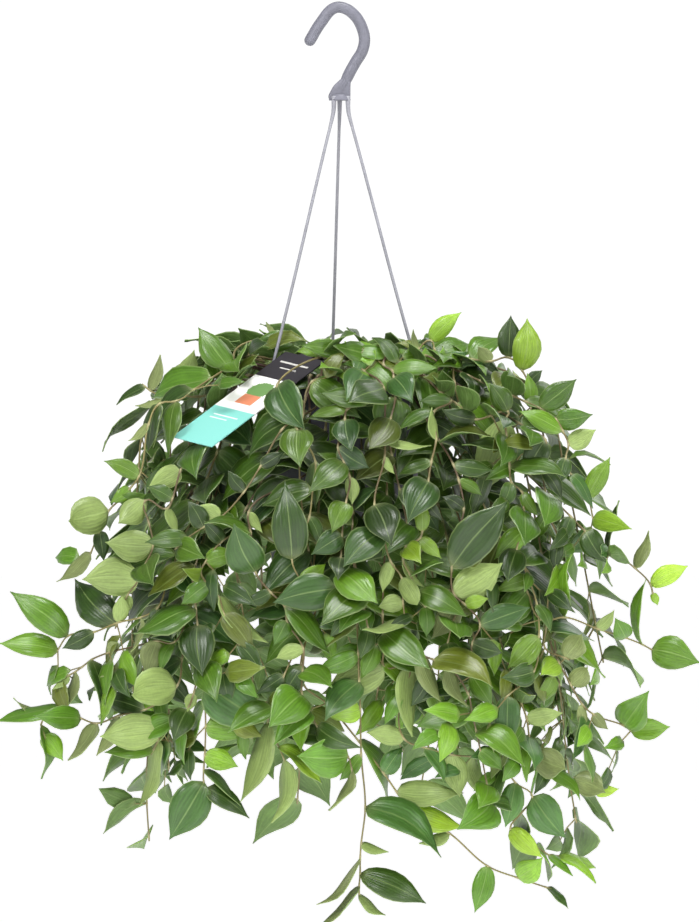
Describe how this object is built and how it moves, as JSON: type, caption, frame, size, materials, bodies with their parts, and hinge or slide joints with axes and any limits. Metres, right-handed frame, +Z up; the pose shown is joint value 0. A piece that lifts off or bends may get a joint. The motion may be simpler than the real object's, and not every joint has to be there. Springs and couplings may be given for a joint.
{
  "type": "potted tradescantia",
  "caption": "Trailing tradescantia with leafy green shoots in a dark plastic hanging pot on a three-strand hanger with a hook, with a care label stuck in the soil.",
  "frame": {"origin": "saddle of the hook, where it rests on whatever holds it", "axes": "+Z up, -Y towards the front, +X to the right as seen from the front"},
  "size_m": [0.5568, 0.4926, 0.7353],
  "materials": {
    "grey_plastic": "satin moulded plastic",
    "anthracite_plastic": "satin moulded plastic",
    "potting_soil": "crumbly peat",
    "printed_card": "printed plastic card",
    "foliage": "waxy living leaf and stem"
  },
  "bodies": {
    "root": {"care_label": "printed_card", "hanger": "grey_plastic", "pot": "anthracite_plastic", "shoot_above_label": "foliage", "shoot_big_dark": "foliage", "shoot_bright_cluster": "foliage", "shoot_bright_front": "foliage", "shoot_centre_drop": "foliage", "shoot_far_left": "foliage", "shoot_front_glossy": "foliage", "shoot_front_heart": "foliage", "shoot_glossy_left": "foliage", "shoot_grey_pair": "foliage", "shoot_hanging_pair": "foliage", "shoot_hanging_pale": "foliage", "shoot_label_side": "foliage", "shoot_left_drop": "foliage", "shoot_left_low": "foliage", "shoot_left_mid": "foliage", "shoot_left_pale": "foliage", "shoot_left_shoulder": "foliage", "shoot_left_upper": "foliage", "shoot_lime_pair": "foliage", "shoot_lower_diagonal": "foliage", "shoot_right_front": "foliage", "shoot_right_inner": "foliage", "shoot_right_long": "foliage", "shoot_right_low": "foliage", "shoot_right_low_inner": "foliage", "shoot_right_shoulder": "foliage", "shoot_right_twig": "foliage", "shoot_right_upper": "foliage", "shoot_top_centre": "foliage", "shoot_top_right_inner": "foliage", "shoot_top_right_spray": "foliage", "shoot_trailing_1": "foliage", "shoot_trailing_10": "foliage", "shoot_trailing_11": "foliage", "shoot_trailing_12": "foliage", "shoot_trailing_13": "foliage", "shoot_trailing_14": "foliage", "shoot_trailing_15": "foliage", "shoot_trailing_16": "foliage", "shoot_trailing_17": "foliage", "shoot_trailing_18": "foliage", "shoot_trailing_19": "foliage", "shoot_trailing_2": "foliage", "shoot_trailing_20": "foliage", "shoot_trailing_21": "foliage", "shoot_trailing_3": "foliage", "shoot_trailing_4": "foliage", "shoot_trailing_5": "foliage", "shoot_trailing_6": "foliage", "shoot_trailing_7": "foliage", "shoot_trailing_8": "foliage", "shoot_trailing_9": "foliage", "shoot_under_label": "foliage", "soil": "potting_soil"}
  },
  "joints": []
}
